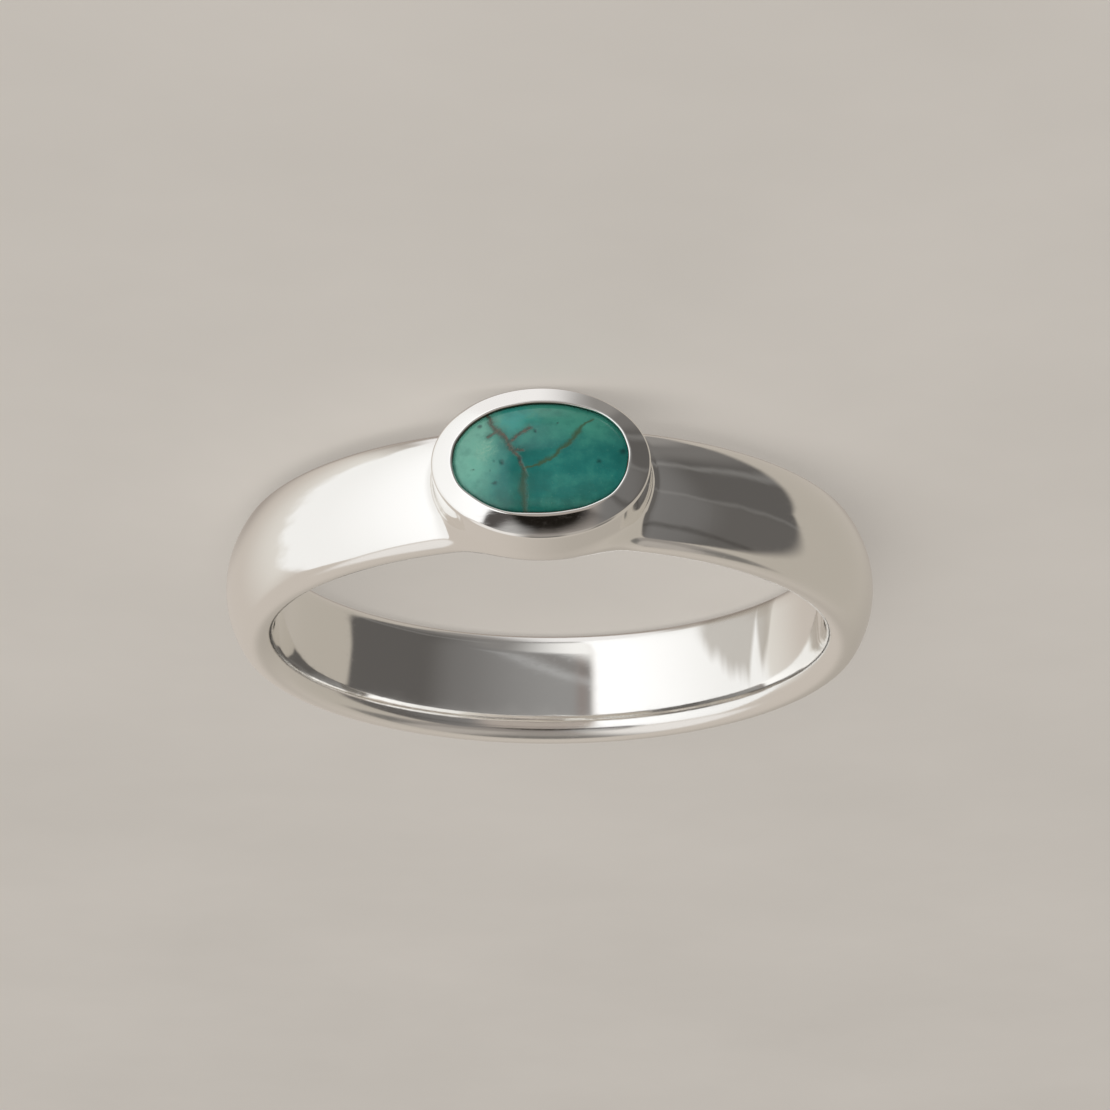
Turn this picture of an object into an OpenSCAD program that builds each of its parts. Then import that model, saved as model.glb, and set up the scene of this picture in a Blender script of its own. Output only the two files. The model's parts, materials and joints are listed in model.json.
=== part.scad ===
// Turquoise ring: an oval cabochon in a plain bezel, set lengthways along a domed silver shank.
// The ring lies on its side. +Z is up, the stone faces -Y, and the origin is the centre of the finger hole.

/* [Shank] */
// Diameter of the finger hole
finger_d = 17.3; // [15:0.1:22]
// Width of the shank, along the finger
shank_w = 3.7; // [3.2:0.1:4.2]
// Thickness of the shank at the middle of its dome
shank_t = 1.5; // [1.4:0.05:1.9]
// Radius of the rounded edges of the shank
edge_r = 0.57; // [0.5:0.01:0.64]

/* [Stone] */
// Length of the cabochon, around the finger
stone_l = 5.7; // [5.2:0.1:6.4]
// Width of the cabochon, along the finger
stone_w = 4.0; // [3.8:0.1:4.4]
// Height of the cabochon, from its flat back to the top of its dome
stone_h = 1.7; // [1.6:0.05:2.1]
// Fall of the dome from its top to where the lip covers it
dome_fall = 0.55; // [0.45:0.05:0.7]

/* [Bezel] */
// How far the bezel's outer wall lies outside the stone
wall_t = 0.375; // [0.3:0.025:0.5]
// How far the lip reaches in over the stone
lip_reach = 0.2; // [0.1:0.05:0.3]
// Height of the lip above the crown of the shank
lip_rise = 1.5; // [1.3:0.05:1.8]
// Thickness of the lip at its inner edge
lip_edge = 0.18; // [0.16:0.01:0.25]
// Slope of the burnished rim
rim_slope = 35; // [25:1:45]
// Radius between the rim and the outer wall
rim_r = 0.2; // [0.1:0.05:0.3]
// Rounding under the part of the bezel that overhangs the shank
foot_r = 0.53; // [0.4:0.01:0.6]
// Height of the bezel's foot above the finger hole
foot_rise = 0.4; // [0.3:0.05:0.6]
// Gap between the stone and the silver
stone_gap = 0.04; // [0.02:0.01:0.06]

/* [Hidden] */
$fn = 96;

// Points on each rounding of a section
ARC_STEPS = 9;
// How far cutting shapes run past what they cut
through = 2;

bore_r = finger_d / 2;
crown_r = bore_r + shank_t;
// Centre of the shank's edge rounding: distance from the ring's axis, and along it
edge_x = bore_r + edge_r;
edge_y = shank_w / 2 - edge_r;
// The shank's dome is the arc that passes through the crown and is tangent to both edge roundings
dome_rise = crown_r - edge_x;
shank_dome_r = (dome_rise * dome_rise + edge_y * edge_y - edge_r * edge_r) / (2 * (dome_rise - edge_r));
shank_dome_x = crown_r - shank_dome_r;
shank_dome_angle = atan2(edge_y, edge_x - shank_dome_x);

// The oval is drawn from four centres on 3-4-5 triangles, so that its arcs meet tangentially
oval_unit = (stone_l - stone_w) / 4;
end_x = 3 * oval_unit;
side_y = 4 * oval_unit;
end_r = stone_l / 2 - end_x;
side_r = end_r + 5 * oval_unit;
// Directions from an arc's centre to where it meets the next arc
end_joint = [0.6, 0.8];
side_joint = [0.8, 0.6];

// Heights of the bezel and the stone, measured from the ring's axis towards the stone
foot_z = bore_r + foot_rise;
lip_z = crown_r + lip_rise;
lip_under_z = lip_z - lip_edge;
stone_top = lip_under_z - stone_gap + dome_fall;
stone_back = stone_top - stone_h;
// The visible dome falls by the same amount along both axes of the oval
function dome_radius(half) = half * half / (2 * dome_fall) + dome_fall / 2;
function dome_height(radius, half) = stone_top - radius + sqrt(radius * radius - half * half);
dome_long_r = dome_radius(stone_l / 2 - lip_reach);
dome_short_r = dome_radius(stone_w / 2 - lip_reach);
girdle_z = max(dome_height(dome_long_r, stone_l / 2), dome_height(dome_short_r, stone_w / 2));

// Lying on its side, the ring leans until the bezel's foot and the far edge of the shank both touch
foot_out = stone_w / 2 + wall_t - foot_r - edge_y;
foot_to_edge = foot_z + foot_r + edge_x;
rest_tilt = atan2(foot_out, foot_to_edge) + asin((foot_r - edge_r) / norm([foot_out, foot_to_edge]));

// Points along an arc, without its first one
function arc(centre, r, from, to) = [
    for (i = [1:ARC_STEPS])
        let (a = from + (to - from) * i / ARC_STEPS)
            centre + r * [cos(a), sin(a)]
];

// Points rounded to a thousandth of a millimetre, so that the bezel's parts meet exactly
function snapped(points) = [for (p = points) [round(p.x * 1000), round(p.y * 1000)] / 1000];

// Section of the shank, with x as the distance from the ring's axis and y along the axis
function shank_section() = concat(
    arc([shank_dome_x, 0], shank_dome_r, -shank_dome_angle, shank_dome_angle),
    arc([edge_x, edge_y], edge_r, shank_dome_angle, 180),
    [[bore_r, -edge_y]],
    arc([edge_x, -edge_y], edge_r, 180, 360 - shank_dome_angle)
);

// Section of the solid bezel outwards from the centre of an arc of radius r, with y as the height
function bezel_section(r) =
    let (
        wall_x = r + wall_t,
        foot = [wall_x - foot_r, foot_z + foot_r],
        // The rim runs straight from the lip to where it is tangent to the rounding
        tangent_x = wall_x - rim_r + rim_r * sin(rim_slope),
        tangent_z = lip_z - (tangent_x - r + lip_reach) * tan(rim_slope),
        rim = [wall_x - rim_r, tangent_z - rim_r * cos(rim_slope)]
    )
    concat(
        [[0, foot_z], [foot.x, foot_z]],
        arc(foot, foot_r, -90, 0),
        [[wall_x, rim.y]],
        arc(rim, rim_r, 0, 90 - rim_slope),
        [[r - lip_reach, lip_z], [0, lip_z]]
    );

// Section of the pocket that holds the stone, with the opening inside the lip above it
function pocket_section(r) = [
    [0, stone_back - stone_gap],
    [r + stone_gap, stone_back - stone_gap],
    [r + stone_gap, girdle_z + stone_gap],
    [r - lip_reach, lip_under_z],
    [r - lip_reach, lip_z + through],
    [0, lip_z + through]
];

// What lies between the two directions that an arc of the oval spans, seen from its centre
module wedge(joint, reach) {
    polygon([[0, 0], [reach * joint.x, -reach * joint.y], [2 * reach, 0], [reach * joint.x, reach * joint.y]]);
}

// The stone's outline
module oval() {
    for (end = [0, 180])
        rotate(end) translate([end_x, 0]) intersection() {
            circle(r = end_r);
            wedge(end_joint, 2 * end_r);
        }
    for (side = [90, 270])
        rotate(side) translate([-side_y, 0]) intersection() {
            circle(r = side_r);
            wedge(side_joint, 2 * side_r);
        }
}

// A section turned about the centre of one arc, as far as that arc goes
module turned(section, joint) {
    reach = max([for (p = section) p.x]) + through;
    intersection() {
        rotate_extrude() polygon(snapped(section));
        translate([0, 0, bore_r]) linear_extrude(2 * crown_r) wedge(joint, reach);
    }
}

// A form whose section follows the oval: end_section on the round ends, side_section on the long sides
module around_oval(end_section, side_section) {
    for (end = [0, 180])
        rotate(end) translate([end_x, 0, 0]) turned(end_section, end_joint);
    for (side = [90, 270])
        rotate(side) translate([-side_y, 0, 0]) turned(side_section, side_joint);
}

// Turns what was drawn upright, with the stone on top, so that the stone faces -Y and the ring lies at rest
module lying() {
    rotate([90 - rest_tilt, 0, 0]) children();
}

module shank_and_bezel() {
    color([0.80, 0.80, 0.78]) lying() difference() {
        union() {
            rotate([90, 0, 0]) rotate_extrude() polygon(shank_section());
            around_oval(bezel_section(end_r), bezel_section(side_r));
        }
        around_oval(pocket_section(end_r), pocket_section(side_r));
    }
}

// The stone's dome is part of a ring-shaped surface that curves less along the oval than across it
module cabochon() {
    color([0.17, 0.50, 0.46]) lying() intersection() {
        translate([0, 0, stone_back]) linear_extrude(stone_h) oval();
        translate([0, 0, stone_top - dome_long_r]) rotate([90, 0, 0])
            rotate_extrude() translate([dome_long_r - dome_short_r, 0]) circle(r = dome_short_r);
    }
}

shank_and_bezel();
cabochon();
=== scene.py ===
"""Turquoise ring: a polished silver ring with an oval turquoise cabochon, lying on its side on a pale floor.

Shapes are worked out in millimetres in the ring's own upright axes: x along the stone's length, a along the
finger hole, and s from the hole's axis towards the stone. lying() turns them into the frame of the CAD model.
"""

import json
import math

import bmesh
import bpy
import numpy as np
from mathutils import Matrix, Vector


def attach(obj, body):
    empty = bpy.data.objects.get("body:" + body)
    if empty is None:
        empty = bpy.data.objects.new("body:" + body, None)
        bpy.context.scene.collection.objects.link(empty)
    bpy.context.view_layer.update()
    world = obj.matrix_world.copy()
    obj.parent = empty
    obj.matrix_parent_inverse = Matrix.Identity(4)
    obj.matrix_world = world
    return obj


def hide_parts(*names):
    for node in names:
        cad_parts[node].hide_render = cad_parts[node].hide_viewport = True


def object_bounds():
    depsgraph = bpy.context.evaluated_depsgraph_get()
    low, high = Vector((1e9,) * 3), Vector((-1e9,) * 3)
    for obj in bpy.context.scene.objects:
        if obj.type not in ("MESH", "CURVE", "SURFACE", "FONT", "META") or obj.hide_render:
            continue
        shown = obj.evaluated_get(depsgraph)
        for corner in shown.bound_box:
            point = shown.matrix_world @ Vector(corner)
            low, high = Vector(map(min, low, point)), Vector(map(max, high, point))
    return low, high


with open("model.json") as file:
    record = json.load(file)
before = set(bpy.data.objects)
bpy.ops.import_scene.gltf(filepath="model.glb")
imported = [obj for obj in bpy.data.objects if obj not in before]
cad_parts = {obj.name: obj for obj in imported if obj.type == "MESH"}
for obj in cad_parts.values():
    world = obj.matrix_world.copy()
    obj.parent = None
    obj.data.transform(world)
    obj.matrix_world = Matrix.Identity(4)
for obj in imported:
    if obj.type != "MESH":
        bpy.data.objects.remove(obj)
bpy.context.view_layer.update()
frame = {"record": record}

MM = 0.001
bore = frame["record"]["mounts"][0]

# Shank
BORE_R = bore["dims"]["r_mm"]
SHANK_W = 3.7
SHANK_T = 1.5
EDGE_R = 0.57
# The finger hole is eased open towards its edges: radius of that curve, and its slopes at the edge and inside
EASE_R = 2.2
EASE_SLOPE = math.radians(12)
INNER_SLOPE = math.radians(3)

# Stone
STONE_L = 5.7
STONE_W = 4.0
STONE_H = 1.7
DOME_FALL = 0.55

# Bezel
WALL_T = 0.375
LIP_REACH = 0.2
LIP_RISE = 1.5
LIP_EDGE = 0.18
RIM_SLOPE = math.radians(35)
RIM_R = 0.2
FOOT_R = 0.53
FOOT_RISE = 0.4
STONE_GAP = 0.04
# Fillet where the bezel is soldered on: on the crown, and how fast it widens to the sides past an a
FILLET = 0.3
FILLET_GROWTH = 0.5
FILLET_GROWS_PAST = 0.95
# Rounding of the lip's inner edge, and how much lower its underside is at the pocket's wall
LIP_R = 0.05
UNDER_LIP = 0.1
# Rounding of the edge of the stone's back, as points inwards and up from its corner
BACK_ROUNDING = [(0.0, 0.15), (0.04, 0.04), (0.15, 0.0)]

# How far the ring leans as it lies on its side, about the row's X axis
REST_TILT = math.atan2(bore["axis"][1], bore["axis"][2])

# Shank section: centre of the edge rounding, and the dome that is tangent to both roundings
CROWN_R = BORE_R + SHANK_T
EDGE_X = BORE_R + EDGE_R
EDGE_A = SHANK_W / 2 - EDGE_R
DOME_RISE = CROWN_R - EDGE_X
SHANK_DOME_R = (DOME_RISE**2 + EDGE_A**2 - EDGE_R**2) / (2 * (DOME_RISE - EDGE_R))
SHANK_DOME_X = CROWN_R - SHANK_DOME_R
SHANK_DOME_ANGLE = math.atan2(EDGE_A, EDGE_X - SHANK_DOME_X)
# The easing is an arc too, tangent to the edge rounding and to the wide arc of the inside's slight bow
EASE_X = EDGE_X + (EASE_R - EDGE_R) * math.cos(EASE_SLOPE)
EASE_A = EDGE_A - (EASE_R - EDGE_R) * math.sin(EASE_SLOPE)
INNER_R = EASE_A / math.sin(INNER_SLOPE) + EASE_R
INNER_X = EASE_X + (INNER_R - EASE_R) * math.cos(INNER_SLOPE)

# Heights of the bezel and the stone above the ring's axis
FOOT_S = BORE_R + FOOT_RISE
LIP_S = CROWN_R + LIP_RISE
STONE_TOP = LIP_S - LIP_EDGE - STONE_GAP + DOME_FALL
STONE_BACK = STONE_TOP - STONE_H
HALF_L = STONE_L / 2
HALF_W = STONE_W / 2
DOME_LONG_R = (HALF_L - LIP_REACH) ** 2 / (2 * DOME_FALL) + DOME_FALL / 2
DOME_SHORT_R = (HALF_W - LIP_REACH) ** 2 / (2 * DOME_FALL) + DOME_FALL / 2

# Unevenness of the lip, pressed over the stone by hand: its slow waver as sines round the oval, each with
# its number of waves, its share and its phase, then how far it reaches in, less at the corners between
# the ends and the sides
LIP_WAVER = 0.012
WAVER_SINES = [(3, 1.0, 0.6), (5, 0.8, 2.1), (9, 0.5, 4.0), (16, 0.35, 0.0)]
LIP_INWARD = 0.05
LIP_CORNERS = 0.04
CORNER_SKEW = 0.9
# The rim's height wavers too
RIM_WAVER = 0.012
RIM_WAVES = 4
RIM_PHASE = 1.0
# The one place where the lip bulges inwards
BULGE_PHI = math.radians(47)
BULGE_WIDTH = math.radians(16)
BULGE_REACH = 0.06

# The bezel's wall is drawn down to here, and blends into the shank below
WALL_END_S = CROWN_R + 0.62
# The patch of shank that the bezel blends into: half its angle, and its inner edge's a inside the hole
PATCH_ANGLE = math.radians(30)
BORE_SEAM_A = 0.7
# Cells along the patch's four sides, and from the bezel's wall outwards
ACROSS_CELLS = 112
ALONG_CELLS = 48
PATCH_CELLS = 88
SHANK_CELLS = 132
BORE_CELLS = 10
# Points on the straight wall, the rim's rounding, the bevel and the lip's rounding
WALL_POINTS = 8
TURN_POINTS = 12
BEVEL_POINTS = 14
LIP_POINTS = 9
# Cells round the stone, and rings from the top of its dome outwards
STONE_CELLS = 256
DOME_RINGS = 61
# The bezel's outline is this much longer over the dome than seen from above
FOOT_SPREAD = 1.03
# Rings of the pocket's floor, as shares of its outline
POCKET_RINGS = (0.66, 0.33, 0.0)
# Steps that bring the patch onto its surface, first and last, and rounds of easing with the share moved
FIRST_STEPS = 8
LAST_STEPS = 4
EASING_ROUNDS = 160
EASING_SHARE = 0.45
# Newton's method: steps to the oval's nearest point, least divisors, nudge for a slope, longest step
NEAREST_STEPS = 4
LEAST_BEND = 0.2
LEAST_SLOPE = 0.05
SLOPE_NUDGE = 1e-4
LONGEST_STEP = 0.1
# Seams closer than this are merged, in metres
SEAM_MERGE = 2e-7

# Colours of the silver, of the painted shade in the seam beside the stone, and of painted reflection streaks
# inside
SILVER = (0.945, 0.935, 0.915)
PAINTED_SEAM_SHADE = (0.16, 0.11, 0.08)
PAINTED_STREAK_COLOUR = (0.42, 0.38, 0.33)

# Colours of the turquoise, its matrix veins and its specks
TEAL = (0.009, 0.15, 0.134)
SOFT_GREEN = (0.056, 0.3, 0.23)
DEEP_GREEN = (0.007, 0.086, 0.068)
PALE_GREEN = (0.15, 0.41, 0.32)
SEA_BLUE = (0.006, 0.29, 0.285)
DEEP_TEAL = (0.0, 0.1, 0.09)
CHALKY = (0.24, 0.43, 0.32)
OLIVE = (0.022, 0.056, 0.032)
GOLDEN_OLIVE = (0.05, 0.07, 0.022)
RUSSET = (0.11, 0.07, 0.05)
UMBER = (0.035, 0.048, 0.035)
SPECK = (0.0, 0.028, 0.028)

# Courses of the veins over the stone, as (x, a)
MAIN_VEIN = [(1.63, -1.55), (1.4, -1.02), (0.95, -0.36), (0.66, 0.08), (0.49, 0.5), (0.49, 1.0), (0.47, 1.75)]
SIDE_VEIN = [(0.92, -0.42), (0.7, -0.6), (0.33, -0.84)]
LONG_VEIN = [(0.48, 0.48), (-0.1, 0.28), (-0.45, 0.05), (-0.82, -0.32), (-1.25, -0.95), (-1.5, -1.2)]
TWIGS = [[(1.3, -0.78), (1.52, -0.64)], [(0.74, -0.1), (0.5, -0.12)]]
# Pools of deeper colour and specks, each with how far it reaches
POOLS = [((0.15, 0.8), 0.62), ((0.78, 0.62), 0.4), ((0.35, 0.1), 0.55), ((-2.35, 0.1), 0.5)]
SPECKS = [((1.8, -1.0), 0.12), ((1.15, 0.24), 0.12), ((0.15, -0.75), 0.1), ((-1.7, 0.15), 0.13),
          ((-2.4, -0.2), 0.17), ((1.32, 0.84), 0.1), ((-0.5, -1.05), 0.07), ((2.0, 0.35), 0.07),
          ((0.62, 0.16), 0.12)]

# Floor and light
FLOOR_HALF = 0.6
FLOOR_DARK = (0.5, 0.467, 0.425)
FLOOR_LIGHT = (0.6, 0.56, 0.513)
# Share of the floor's colour that is lit by the lamps, and share that it gives off by itself
FLOOR_SHARE = 0.5
FLOOR_GLOW = 0.6
FLOOR_ROUGH = 0.95
CLOUDING_NOISE = (60.0, 4.0, 0.6)
FRONT_PLACE = (0.2, -0.52, 0.42)
FRONT_SIZE = 1.0
FRONT_POWER = 6.0
FRONT_TINT = (1.0, 0.985, 0.965)
OVERHEAD_PLACE = (0.0, -0.25, 0.58)
OVERHEAD_SIZE = 1.2
OVERHEAD_POWER = 1.4
OVERHEAD_TINT = (1.0, 0.975, 0.95)


def lying(points):
    """Upright (x, a, s) in millimetres to the row frame in metres: the stone faces -Y, less the tilt."""
    x, a, s = points[..., 0], points[..., 1], points[..., 2]
    sin, cos = math.sin(REST_TILT), math.cos(REST_TILT)
    return np.stack([x, a * sin - s * cos, a * cos + s * sin], -1) * MM


def stone_height(x, a):
    """Height of the stone's dome: a torus whose tube is bent along the oval.
    The tube's circle gives the height across the oval, and the bend takes it down along the length."""
    across = np.sqrt(DOME_SHORT_R**2 - a**2) + DOME_LONG_R - DOME_SHORT_R
    return STONE_TOP - DOME_LONG_R + np.sqrt(across**2 - x**2)


def oval(phi, out):
    """Point at angle phi of the stone's oval, moved outwards by out.
    The oval is an ellipse, (x, a) = (half length * cos, half width * sin), and out runs along its normal."""
    normal = np.stack([HALF_W * np.cos(phi), HALF_L * np.sin(phi)], -1)
    normal = normal / np.linalg.norm(normal, axis=-1, keepdims=True)
    return np.stack([HALF_L * np.cos(phi), HALF_W * np.sin(phi)], -1) + out[..., None] * normal


def oval_distance(x, a):
    """Signed distance from the stone's oval. The nearest point's angle is found by Newton's method:
    there, the line to the point is at right angles to the ellipse."""
    x, a = np.abs(x), np.abs(a)
    t = np.arctan2(a / HALF_W, x / HALF_L)
    for _ in range(NEAREST_STEPS):
        ex, ea = HALF_L * np.cos(t), HALF_W * np.sin(t)
        dx, da = -HALF_L * np.sin(t), HALF_W * np.cos(t)
        slope = (ex - x) * dx + (ea - a) * da
        bend = dx**2 + da**2 - (ex - x) * ex - (ea - a) * ea
        t = np.clip(t - slope / np.maximum(bend, LEAST_BEND), 0, math.pi / 2)
    ex, ea = HALF_L * np.cos(t), HALF_W * np.sin(t)
    inside = (x / HALF_L) ** 2 + (a / HALF_W) ** 2 < 1
    return np.where(inside, -1, 1) * np.hypot(x - ex, a - ea)


def shank_distance(p):
    """Signed distance from the plain shank, in the plane of its section: from the dome's circle within
    the dome's angle, from the easing's circle or the bow's on the inside, and from the edge rounding's
    elsewhere."""
    r, a = np.hypot(p[..., 0], p[..., 2]), np.abs(p[..., 1])
    dome = np.hypot(r - SHANK_DOME_X, a) - SHANK_DOME_R
    edge = np.hypot(r - EDGE_X, a - EDGE_A) - EDGE_R
    bow = np.hypot(r - INNER_X, a) - INNER_R
    ease = np.hypot(r - EASE_X, a - EASE_A) - EASE_R
    ease = np.where(np.arctan2(a, INNER_X - r) < INNER_SLOPE, bow, ease)
    over_dome = np.arctan2(a, r - SHANK_DOME_X) < SHANK_DOME_ANGLE
    over_ease = np.arctan2(a - EASE_A, EASE_X - r) < EASE_SLOPE
    outer = r > EDGE_X - 0.5 * EDGE_R
    return np.where(over_dome & outer, dome, np.where(over_ease & ~outer, ease, edge))


def bezel_distance(p):
    """Signed distance from the bezel below its rim: the oval's wall, rounded under at its foot."""
    wall = oval_distance(p[..., 0], p[..., 1]) - WALL_T
    rise = p[..., 2] - (FOOT_S + FOOT_R)
    under = np.hypot(np.maximum(wall + FOOT_R, 0), np.minimum(rise, 0)) - FOOT_R
    return np.where(rise > 0, wall, np.where(wall > -FOOT_R, under, -rise - FOOT_R))


def silver_distance(p):
    """The shank's and the bezel's distances joined by a smooth minimum, which leaves a fillet where they
    meet. The solder runs wider where the bezel overhangs the shank's sides."""
    one, other = shank_distance(p), bezel_distance(p)
    fillet = FILLET + FILLET_GROWTH * np.clip(np.abs(p[..., 1]) - FILLET_GROWS_PAST, 0, 1)
    share = np.clip(0.5 + 0.5 * (other - one) / fillet, 0, 1)
    return other + (one - other) * share - fillet * share * (1 - share)


def settle(p, steps):
    """Moves points onto the surface where silver_distance is zero, by Newton steps along its gradient."""
    nudge = SLOPE_NUDGE * np.eye(3)
    for _ in range(steps):
        slope = [(silver_distance(p + d) - silver_distance(p - d)) / (2 * SLOPE_NUDGE) for d in nudge]
        slope = np.stack(slope, -1)
        size = np.maximum((slope**2).sum(-1, keepdims=True), LEAST_SLOPE)
        p = p - np.clip(silver_distance(p)[..., None] * slope / size, -LONGEST_STEP, LONGEST_STEP)
    return p


# Distances along half the section's outline, from the crown to the end of each arc
DOME_END = SHANK_DOME_R * SHANK_DOME_ANGLE
EDGE_END = DOME_END + EDGE_R * (math.pi - EASE_SLOPE - SHANK_DOME_ANGLE)
EASE_END = EDGE_END + EASE_R * (EASE_SLOPE - INNER_SLOPE)
MIDDLE_W = EASE_END + INNER_R * INNER_SLOPE
SEAM_W = MIDDLE_W - BORE_SEAM_A


def section(w):
    """Shank section by the distance w from the crown along its outline: the dome's arc, the edge's arc, the
    easing's arc and the bow's arc, each with its length. Returns the distance from the axis and along it."""
    side, w = np.sign(w), np.abs(w)
    dome_t = np.clip(w, 0, DOME_END) / SHANK_DOME_R
    edge_t = SHANK_DOME_ANGLE + (np.clip(w, DOME_END, EDGE_END) - DOME_END) / EDGE_R
    ease_t = math.pi - EASE_SLOPE + (np.clip(w, EDGE_END, EASE_END) - EDGE_END) / EASE_R
    bow_t = math.pi - INNER_SLOPE + (np.clip(w, EASE_END, MIDDLE_W) - EASE_END) / INNER_R
    r = [SHANK_DOME_X + SHANK_DOME_R * np.cos(dome_t), EDGE_X + EDGE_R * np.cos(edge_t)]
    r = r + [EASE_X + EASE_R * np.cos(ease_t)]
    along = [SHANK_DOME_R * np.sin(dome_t), EDGE_A + EDGE_R * np.sin(edge_t)]
    along = along + [EASE_A + EASE_R * np.sin(ease_t)]
    parts = [w < DOME_END, w < EDGE_END, w < EASE_END]
    inner_r, inner_a = INNER_X + INNER_R * np.cos(bow_t), INNER_R * np.sin(bow_t)
    return np.select(parts, r, inner_r), side * np.select(parts, along, inner_a)


def on_shank(theta, w):
    """Point of the plain shank at angle theta from the stone and distance w across: the section, turned."""
    r, a = section(w)
    return np.stack([r * np.sin(theta), a, r * np.cos(theta)], -1)


def loop_around_patch():
    """The patch's outline as angles and distances across, once round, from its corner at -angle and -seam."""
    along = PATCH_ANGLE * np.linspace(-1, 1, ALONG_CELLS + 1)[:-1]
    across = SEAM_W * np.linspace(-1, 1, ACROSS_CELLS + 1)[:-1]
    far = np.full(ACROSS_CELLS, PATCH_ANGLE)
    side = np.full(ALONG_CELLS, SEAM_W)
    return np.concatenate([far, -along, -far, along]), np.concatenate([across, side, -across, -side])


# The oval's angles, one for each point of the loop: the patch's corners lie at this angle from the long axis
CORNER_PHI = math.radians(58)
LONG_PHI = CORNER_PHI * np.linspace(-1, 1, ACROSS_CELLS + 1)[:-1]
SHORT_PHI = CORNER_PHI + (math.pi - 2 * CORNER_PHI) * np.linspace(0, 1, ALONG_CELLS + 1)[:-1]
LOOP_PHI = np.concatenate([LONG_PHI, SHORT_PHI, LONG_PHI + math.pi, SHORT_PHI + math.pi])


def blended_patch():
    """Grid from the bezel's wall outwards over the fillet and the shank to the patch's outline. It starts
    as straight lines down the wall and then along the shank, and is eased even: again and again each
    inner point moves towards the middle of its four neighbours and settles back onto the smooth union's
    surface."""
    wall_xa = oval(LOOP_PHI, np.full(LOOP_PHI.shape, WALL_T))
    top = np.concatenate([wall_xa, np.full((len(LOOP_PHI), 1), WALL_END_S)], -1)
    loop_theta, loop_w = loop_around_patch()
    foot_theta = np.arcsin(wall_xa[:, 0] / CROWN_R)
    foot_w = wall_xa[:, 1] * FOOT_SPREAD
    foot = on_shank(foot_theta, foot_w)
    down = PATCH_CELLS // 4
    t = (np.arange(down) / down)[:, None, None]
    wall = top + (foot - top) * t
    t = np.linspace(0, 1, PATCH_CELLS - down + 1)[:, None]
    outwards = on_shank(foot_theta + (loop_theta - foot_theta) * t, foot_w + (loop_w - foot_w) * t)
    grid = np.concatenate([wall, outwards])
    grid[1:-1] = settle(grid[1:-1], FIRST_STEPS)
    for _ in range(EASING_ROUNDS):
        around = (np.roll(grid, 1, 1) + np.roll(grid, -1, 1))[1:-1]
        grid[1:-1] += EASING_SHARE * ((grid[:-2] + grid[2:] + around) / 4 - grid[1:-1])
        grid[1:-1] = settle(grid[1:-1], 1)
    grid[1:-1] = settle(grid[1:-1], LAST_STEPS)
    return grid


def arc(centre, r, start, end, count):
    """Points of a circular arc: centre + r * (cos, sin) of angles spaced evenly from start to end."""
    t = np.linspace(start, end, count)
    return np.stack([centre[0] + r * np.cos(t), centre[1] + r * np.sin(t)], -1)


def rim_profile():
    """Bezel section from the wall's blend line up over the rim, in past the lip and down to the pocket's
    floor. Columns are the distance outside the stone's oval and the height."""
    tangent_out = WALL_T - RIM_R + RIM_R * math.sin(RIM_SLOPE)
    tangent_s = LIP_S - (tangent_out + LIP_REACH) * math.tan(RIM_SLOPE)
    rim = (WALL_T - RIM_R, tangent_s - RIM_R * math.cos(RIM_SLOPE))
    wall_s = np.linspace(WALL_END_S, rim[1], WALL_POINTS + 1)[:-1]
    wall = np.stack([np.full(WALL_POINTS, WALL_T), wall_s], -1)
    turn = arc(rim, RIM_R, 0, math.pi / 2 - RIM_SLOPE, TURN_POINTS)
    lip = (-LIP_REACH + LIP_R, LIP_S - LIP_R * (1 / math.cos(RIM_SLOPE) + math.tan(RIM_SLOPE)))
    lip_turn = arc(lip, LIP_R, math.pi / 2 - RIM_SLOPE, math.pi, LIP_POINTS)
    bevel = turn[-1] + (lip_turn[0] - turn[-1]) * np.linspace(0, 1, BEVEL_POINTS)[1:-1, None]
    lip_under_s = LIP_S - LIP_EDGE
    pocket = [(STONE_GAP, lip_under_s - UNDER_LIP), (STONE_GAP, STONE_BACK - STONE_GAP)]
    inside = np.array([(-LIP_REACH, lip_under_s)] + pocket)
    return np.concatenate([wall, turn, bevel, lip_turn, inside])


def lip_waver(phi):
    """How far the hand-pressed lip departs from a true oval: it reaches in more at the ends and sides
    than at the corners between them, wavers in slow sines, and has one broad bulge inwards."""
    bulge = np.exp(-(((phi - BULGE_PHI + math.pi) % (2 * math.pi) - math.pi) / BULGE_WIDTH) ** 2)
    slow = sum(share * np.sin(waves * phi + phase) for waves, share, phase in WAVER_SINES)
    corners = np.cos(4 * phi) - CORNER_SKEW * np.sin(2 * phi)
    return LIP_WAVER * slow - BULGE_REACH * bulge - LIP_INWARD - LIP_CORNERS * corners


def bezel_cup():
    """The rim's section carried round the oval, and the pocket's floor drawn in to its middle. The waver
    grows from nothing at the outer wall to its whole size at the lip, and leaves the pocket alone."""
    profile = rim_profile()
    out, s = profile[:, :1], profile[:, 1:]
    share = np.clip((WALL_T - out) / (WALL_T + LIP_REACH), 0, 1) ** 2
    share[-2:] = 0
    moved = out + share * lip_waver(LOOP_PHI)
    raised = s + RIM_WAVER * share * np.sin(RIM_WAVES * LOOP_PHI + RIM_PHASE)
    grid = np.concatenate([oval(np.broadcast_to(LOOP_PHI, moved.shape), moved), raised[..., None]], -1)
    rings = np.array([(share, share, 1.0) for share in POCKET_RINGS])[:, None]
    return np.concatenate([grid, grid[-1] * rings])


def plain_shank():
    """The rest of the shank's outside: its section turned about the finger hole's axis."""
    theta = np.linspace(PATCH_ANGLE, 2 * math.pi - PATCH_ANGLE, SHANK_CELLS + 1)
    w = SEAM_W * np.linspace(-1, 1, ACROSS_CELLS + 1)
    return on_shank(*np.meshgrid(theta, w, indexing="ij"))


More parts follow.
